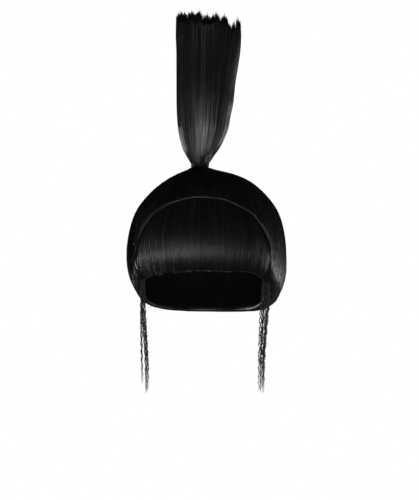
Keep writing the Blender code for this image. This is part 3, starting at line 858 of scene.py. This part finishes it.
def tuft_locks():
    """Middles of the small locks that the tuft's cut top falls into, spread evenly over its section."""
    k = np.arange(TUFT_LOCKS)
    return (TUFT_LOCK_TURN * k) % (2 * math.pi), np.sqrt((k + 0.5) / TUFT_LOCKS)


def add_tuft_strands(name, settings, strands, rng, turn, shrink, low, steps, girth):
    """Strands of the tuft that draw together into its pointed locks near the cut."""
    lock_turn, lock_shrink = tuft_locks()
    tip = np.stack(tuft_section(turn, np.ones_like(turn), shrink), axis=-1)
    middle = np.stack(tuft_section(lock_turn, np.ones_like(lock_turn), lock_shrink), axis=-1)
    apart = np.linalg.norm(tip[:, None] - middle[None], axis=2)
    nearest = apart.argmin(axis=1)
    distance = apart.min(axis=1)
    lock_rng = np.random.default_rng(64)
    pull = lock_rng.uniform(0.20, 0.75, len(lock_turn))[nearest]
    short = lock_rng.uniform(0, 1, len(lock_turn))[nearest] ** 2 * 0.0045
    along = np.linspace(0, 1, steps)
    rise = low[:, None] + (1 - low)[:, None] * along
    cut = tuft_cut(lock_turn[nearest], lock_shrink[nearest])
    cut = 0.5 * cut + 0.5 * tuft_cut(turn, shrink)
    uneven = np.abs(rng.normal(0, 0.0016, len(turn))) - 0.0030 * (rng.uniform(0, 1, len(turn)) < 0.05)
    top = cut - short - 0.60 * distance - uneven + 0.0014
    lift = (0.00010 + 0.00030 * rng.uniform(0, 1, len(turn)))[:, None] * np.minimum(1, 0.5 + rise * 12)
    paths = tuft_points(turn[:, None], rise, shrink[:, None], lift, top[:, None])
    drawn = pull[:, None] * np.clip((rise - TUFT_LOCK_START) / (1 - TUFT_LOCK_START), 0, 1) ** 1.5
    paths[..., :2] += drawn[..., None] * (middle[nearest] - tip)[:, None]
    ends = np.minimum(1, (1 - along) * (steps - 1) / 2.5)
    thickness = girth * strands.thickness * rng.uniform(0.6, 1.1, len(turn))[:, None] * (0.22 + 0.78 * ends)
    thickness = thickness * np.interp(rise, [0, 0.1, 0.4, 1], [0.6, 0.7, 0.9, 1.0])
    tone = rng.uniform(0, 1, len(turn))[:, None] ** TONE_BIAS
    fibre = strand_hair(name + "_fibre", settings, 0.3, 2.0)
    return add_strands(name, paths, thickness, tone, fibre)


def build_tuft_strands(settings, strands):
    """Strands round the tuft from the tie to the cut, and the thicker tips that fill its top."""
    rng = np.random.default_rng(63)
    sides = strands.tuft_count
    turn = 2 * math.pi * ((np.arange(sides) + rng.uniform(0, 1, sides)) / sides)
    low = rng.choice([0.0, 0.0, 0.0, 0.25], sides)
    shrink = np.ones(sides) - 0.03 * rng.uniform(0, 1, sides) * (low == 0)
    outer = add_tuft_strands("tuft_strands", settings, strands, rng, turn, shrink, low, 13, 1.2)
    tips = strands.tip_count
    turn = rng.uniform(0, 2 * math.pi, tips)
    shrink = np.sqrt(rng.uniform(0.01, 0.97, tips))
    inner = add_tuft_strands("tuft_tips", settings, strands, rng, turn, shrink, np.full(tips, 0.86), 6, 1.5)
    return outer, inner


def build_tie(settings):
    """The covered elastic: two wraps with fine ribs, one partly over the other."""
    columns, around = 240, 26
    turn = 2 * math.pi * np.arange(columns) / columns
    inner = NECK_RADIUS + CLEARANCE
    points, flow = [], []
    for k in range(around):
        t = 2 * math.pi * k / around
        half_height = TIE_HEIGHT / 2
        height = -half_height * math.cos(t)
        two_wraps = 0.5 + 0.5 * math.cos(4 * math.pi * (height / TIE_HEIGHT))
        out = max(0.0, math.sin(t)) ** 0.6
        rib = 0.00011 * np.cos(60 * turn + 9.0 * height / TIE_HEIGHT)
        radius = inner + TIE_BAND * (0.10 + 0.88 * out) - 0.0007 * two_wraps * out + rib * out
        slant = 0.00035 * np.sin(turn + 0.8) * out
        ring = np.stack([TIE_ASIDE + radius * np.sin(turn), -radius * np.cos(turn),
                         TIE_FOOT + half_height + 0.94 * height + slant], axis=1)
        points.append(ring)
        flow.append(np.stack([turn / (2 * math.pi), np.full(columns, k / around)], axis=1))
    points, flow = np.concatenate(points), np.concatenate(flow)
    faces = ring_faces(around, columns)
    last = (around - 1) * columns
    for i in range(columns):
        j = (i + 1) % columns
        faces.append((last + i, last + j, j, i))
    material, nodes, link, shader = hair_shader(
        "covered_elastic", settings.colour, roughness=0.55, specular=0.35
    )
    uv = nodes.new("ShaderNodeUVMap")
    uv.uv_map = "flow"
    knit = add_streaks(nodes, link, uv.outputs["UV"], (240.0, 40.0), 2.0)
    link(add_ramp(nodes, link, knit, [(0.3, (0.002, 0.002, 0.0022)), (0.7, (0.009, 0.009, 0.010))]),
         shader.inputs["Base Color"])
    bump = nodes.new("ShaderNodeBump")
    bump.inputs["Strength"].default_value = 0.5
    bump.inputs["Distance"].default_value = 0.0003
    link(knit, bump.inputs["Height"])
    link(bump.outputs["Normal"], shader.inputs["Normal"])
    return turned_out(add_mesh("tie_wraps", points, faces, [material], flow))


def build_sidelock(side, settings, strands):
    """A wispy sidelock: bundles of fine crimped hairs that part and thin out to their free ends."""
    rng = np.random.default_rng(81 if side == "left" else 82)
    steps = 110
    share = np.linspace(0, 1, steps)
    paths, thicknesses, tones = [], [], []
    for count, length, front, shape in SIDELOCKS[side]:
        wisp_count = count // WISP_HAIRS
        for hair in range(count):
            if hair % WISP_HAIRS == 0:
                across = 2 * ((hair // WISP_HAIRS + 0.5) / wisp_count) - 1
                deep = rng.uniform(-0.8, 0.8)
                bend, weave = rng.uniform(0.0003, 0.0008), rng.uniform(0, 2 * math.pi)
                waves, drift = rng.uniform(8, 15), rng.uniform(-0.3, 0.3)
            reach = length * (1 - 0.35 * rng.uniform(0, 1) ** 3.0 - abs(rng.normal(0, 0.02)))
            fall = share * reach / length
            half = shape.at("half", fall) * 0.001
            free = np.clip(fall * 5, 0, 1)
            crimp, phase = rng.uniform(0.00010, 0.00030) * free, rng.uniform(0, 2 * math.pi)
            tight = rng.uniform(22, 34) * 2 * math.pi * fall
            slow = waves * 2 * math.pi * fall + weave + rng.normal(0, 0.25)
            x = shape.at("middle", fall) * 0.001 + (0.85 * across + drift * fall) * half
            x = x + rng.normal(0, 0.00022) + crimp * np.sin(tight + phase) + bend * free * np.sin(slow)
            y = front + 0.7 * deep * half + rng.normal(0, 0.00022)
            y = y + crimp * np.cos(tight + phase) + bend * free * np.cos(slow + weave)
            z = SIDELOCK_ROOTS[side] - length * fall
            paths.append(np.stack([x, y, z], axis=1))
            taper = 1 - 0.6 * np.clip((share - 0.75) / 0.25, 0, 1)
            thicknesses.append(strands.wisp_thickness * rng.uniform(0.7, 1.25) * taper)
            tones.append(np.full(steps, rng.uniform(0, 1)))
    fibre = strand_hair(f"sidelock_{side}_fibre", settings, 1.2, 7.0)
    paths, thicknesses, tones = np.array(paths), np.array(thicknesses), np.array(tones)
    return add_strands(f"sidelock_{side}_hairs", paths, thicknesses, tones, fibre)


def carried(piece, slot, *nodes):
    """A finished piece rides on the wig's one body, and any solids it replaces are hidden; its slot is not
    used.
    """
    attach(piece, "root")
    if nodes:
        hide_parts(*nodes)
    return piece


class WIG_OT_crown(bpy.types.Operator):
    """Comb the crown and lay its strands"""

    bl_idname = "wig.crown"
    bl_label = "Crown Hair"

    def execute(self, context):
        wig = context.scene.wig
        carried(build_crown(wig.hair), "hair", "crown_hair")
        carried(build_crown_strands(wig.hair, wig.strands), "hair")
        return {"FINISHED"}


class WIG_OT_fringe(bpy.types.Operator):
    """Puff the fringe out and cut its strands"""

    bl_idname = "wig.fringe"
    bl_label = "Fringe"

    def execute(self, context):
        wig = context.scene.wig
        carried(build_fringe(wig.hair), "hair", "fringe")
        carried(build_fringe_strands(wig.hair, wig.strands), "hair")
        return {"FINISHED"}


class WIG_OT_tuft(bpy.types.Operator):
    """Stand the tuft up and cut its top"""

    bl_idname = "wig.tuft"
    bl_label = "Top Tuft"

    def execute(self, context):
        wig = context.scene.wig
        carried(build_tuft(wig.hair), "hair", "top_tuft")
        for piece in build_tuft_strands(wig.hair, wig.strands):
            carried(piece, "hair")
        return {"FINISHED"}


class WIG_OT_tie(bpy.types.Operator):
    """Wind the elastic round the gathered hair"""

    bl_idname = "wig.tie"
    bl_label = "Hair Tie"

    def execute(self, context):
        carried(build_tie(context.scene.wig.hair), "elastic", "hair_tie")
        return {"FINISHED"}


class WIG_OT_sidelocks(bpy.types.Operator):
    """Hang the thin sidelocks"""

    bl_idname = "wig.sidelocks"
    bl_label = "Sidelocks"

    def execute(self, context):
        wig = context.scene.wig
        for side in ("left", "right"):
            carried(build_sidelock(side, wig.hair, wig.strands), "thin_hair", f"sidelock_{side}")
        return {"FINISHED"}


def add_area_light(name, place, aim, size, power, colour=(1.0, 1.0, 1.0)):
    """A rectangular lamp at a place that faces its aim and doesn't show in the picture."""
    data = bpy.data.lights.new(name, "AREA")
    data.shape = "RECTANGLE"
    data.size, data.size_y = size
    data.energy = power
    data.color = colour
    light = bpy.data.objects.new(name, data)
    bpy.context.scene.collection.objects.link(light)
    light.location = place
    towards = np.array(aim, float) - np.array(place, float)
    yaw = math.atan2(towards[1], towards[0]) - math.pi / 2
    pitch = math.atan2(towards[2], math.hypot(towards[0], towards[1]))
    light.rotation_euler = (math.pi / 2 + pitch, 0, yaw)
    light.visible_camera = False
    return light


class WIG_OT_stage(bpy.types.Operator):
    """Set the floor, the soft lights, the white backdrop and the camera"""

    bl_idname = "wig.stage"
    bl_label = "Stage and Camera"

    def execute(self, context):
        stage = context.scene.wig.stage
        self.add_floor(stage)
        self.add_lights(stage)
        self.add_backdrop(context, stage)
        self.add_camera(context)
        return {"FINISHED"}

    def add_floor(self, stage):
        turns = [2 * math.pi * k / 96 for k in range(96)]
        rim = [(stage.floor_radius * math.cos(t), stage.floor_radius * math.sin(t), -stage.floor_drop)
               for t in turns]
        material = bpy.data.materials.new("pale_floor")
        material.use_nodes = True
        shader = material.node_tree.nodes["Principled BSDF"]
        shader.inputs["Base Color"].default_value = (0.93, 0.93, 0.93, 1.0)
        shader.inputs["Roughness"].default_value = 0.8
        shader.inputs["Specular IOR Level"].default_value = 0.1
        floor = add_mesh("floor", rim, [tuple(range(96))], [material], smooth=False)
        floor.visible_glossy = False

    def add_lights(self, stage):
        wig = (0.0, 0.0, -0.03)
        cool = (0.94, 0.97, 1.0)
        add_area_light("low_front_light", (0.1, -1.65, -0.72), wig, (1.1, 0.42), stage.key_power, cool)
        add_area_light("left_light", (-1.25, 0.80, -0.35), wig, (0.3, 0.5), stage.side_power)
        add_area_light("right_light", (1.25, 0.80, -0.35), wig, (0.3, 0.5), 0.6 * stage.side_power)
        add_area_light("back_light", (0.0, 1.5, -0.2), wig, (0.8, 0.3), stage.back_power)

    def add_backdrop(self, context, stage):
        """White to the camera and as soft light all round, but dim in the hair's gloss."""
        world = bpy.data.worlds.new("white_backdrop")
        world.use_nodes = True
        nodes, link = world.node_tree.nodes, world.node_tree.links.new
        white = nodes["Background"]
        white.inputs["Color"].default_value = (1.0, 1.0, 1.0, 1.0)
        white.inputs["Strength"].default_value = 1.0
        dim = nodes.new("ShaderNodeBackground")
        dim.inputs["Color"].default_value = (1.0, 1.0, 1.0, 1.0)
        dim.inputs["Strength"].default_value = stage.gloss_backdrop
        path = nodes.new("ShaderNodeLightPath")
        mix = nodes.new("ShaderNodeMixShader")
        link(path.outputs["Is Glossy Ray"], mix.inputs["Fac"])
        link(white.outputs["Background"], mix.inputs[1])
        link(dim.outputs["Background"], mix.inputs[2])
        link(mix.outputs["Shader"], nodes["World Output"].inputs["Surface"])
        context.scene.world = world
        context.scene.view_settings.view_transform = "Standard"

    def add_camera(self, context):
        data = bpy.data.cameras.new("photo_camera")
        camera = bpy.data.objects.new("photo_camera", data)
        context.scene.collection.objects.link(camera)
        x = (FRAME_WIDTH / 2 - HEAD_TOP_PIXEL[0]) * METRES_PER_PIXEL
        z = (HEAD_TOP_PIXEL[1] - FRAME_HEIGHT / 2) * METRES_PER_PIXEL
        camera.location = (x, -CAMERA_DISTANCE, z)
        camera.rotation_euler = (math.pi / 2, 0, 0)
        data.sensor_width = SENSOR
        data.lens = SENSOR * CAMERA_DISTANCE / (FRAME_HEIGHT * METRES_PER_PIXEL)
        data.clip_end = 50.0
        context.scene.camera = camera


class WIG_PT_panel(bpy.types.Panel):
    """Buttons and settings of the wig"""

    bl_label = "Wig"
    bl_idname = "WIG_PT_panel"
    bl_space_type = "VIEW_3D"
    bl_region_type = "UI"
    bl_category = "Wig"

    def draw(self, context):
        wig = context.scene.wig
        for group in (wig.hair, wig.strands, wig.stage):
            box = self.layout.box()
            for name in group.bl_rna.properties.keys():
                if name not in ("rna_type", "name"):
                    box.prop(group, name)
        for operator in OPERATORS:
            self.layout.operator(operator.bl_idname)


OPERATORS = (WIG_OT_crown, WIG_OT_fringe, WIG_OT_tuft, WIG_OT_tie, WIG_OT_sidelocks, WIG_OT_stage)
CLASSES = (WigHairSettings, WigStrandSettings, WigStageSettings, WigSettings, *OPERATORS, WIG_PT_panel)


def register():
    for cls in CLASSES:
        bpy.utils.register_class(cls)
    bpy.types.Scene.wig = bpy.props.PointerProperty(type=WigSettings)


def unregister():
    del bpy.types.Scene.wig
    for cls in reversed(CLASSES):
        bpy.utils.unregister_class(cls)


def main():
    register()
    bpy.ops.wig.crown()
    bpy.ops.wig.fringe()
    bpy.ops.wig.tuft()
    bpy.ops.wig.tie()
    bpy.ops.wig.sidelocks()
    bpy.ops.wig.stage()


if __name__ == "__main__":
    main()
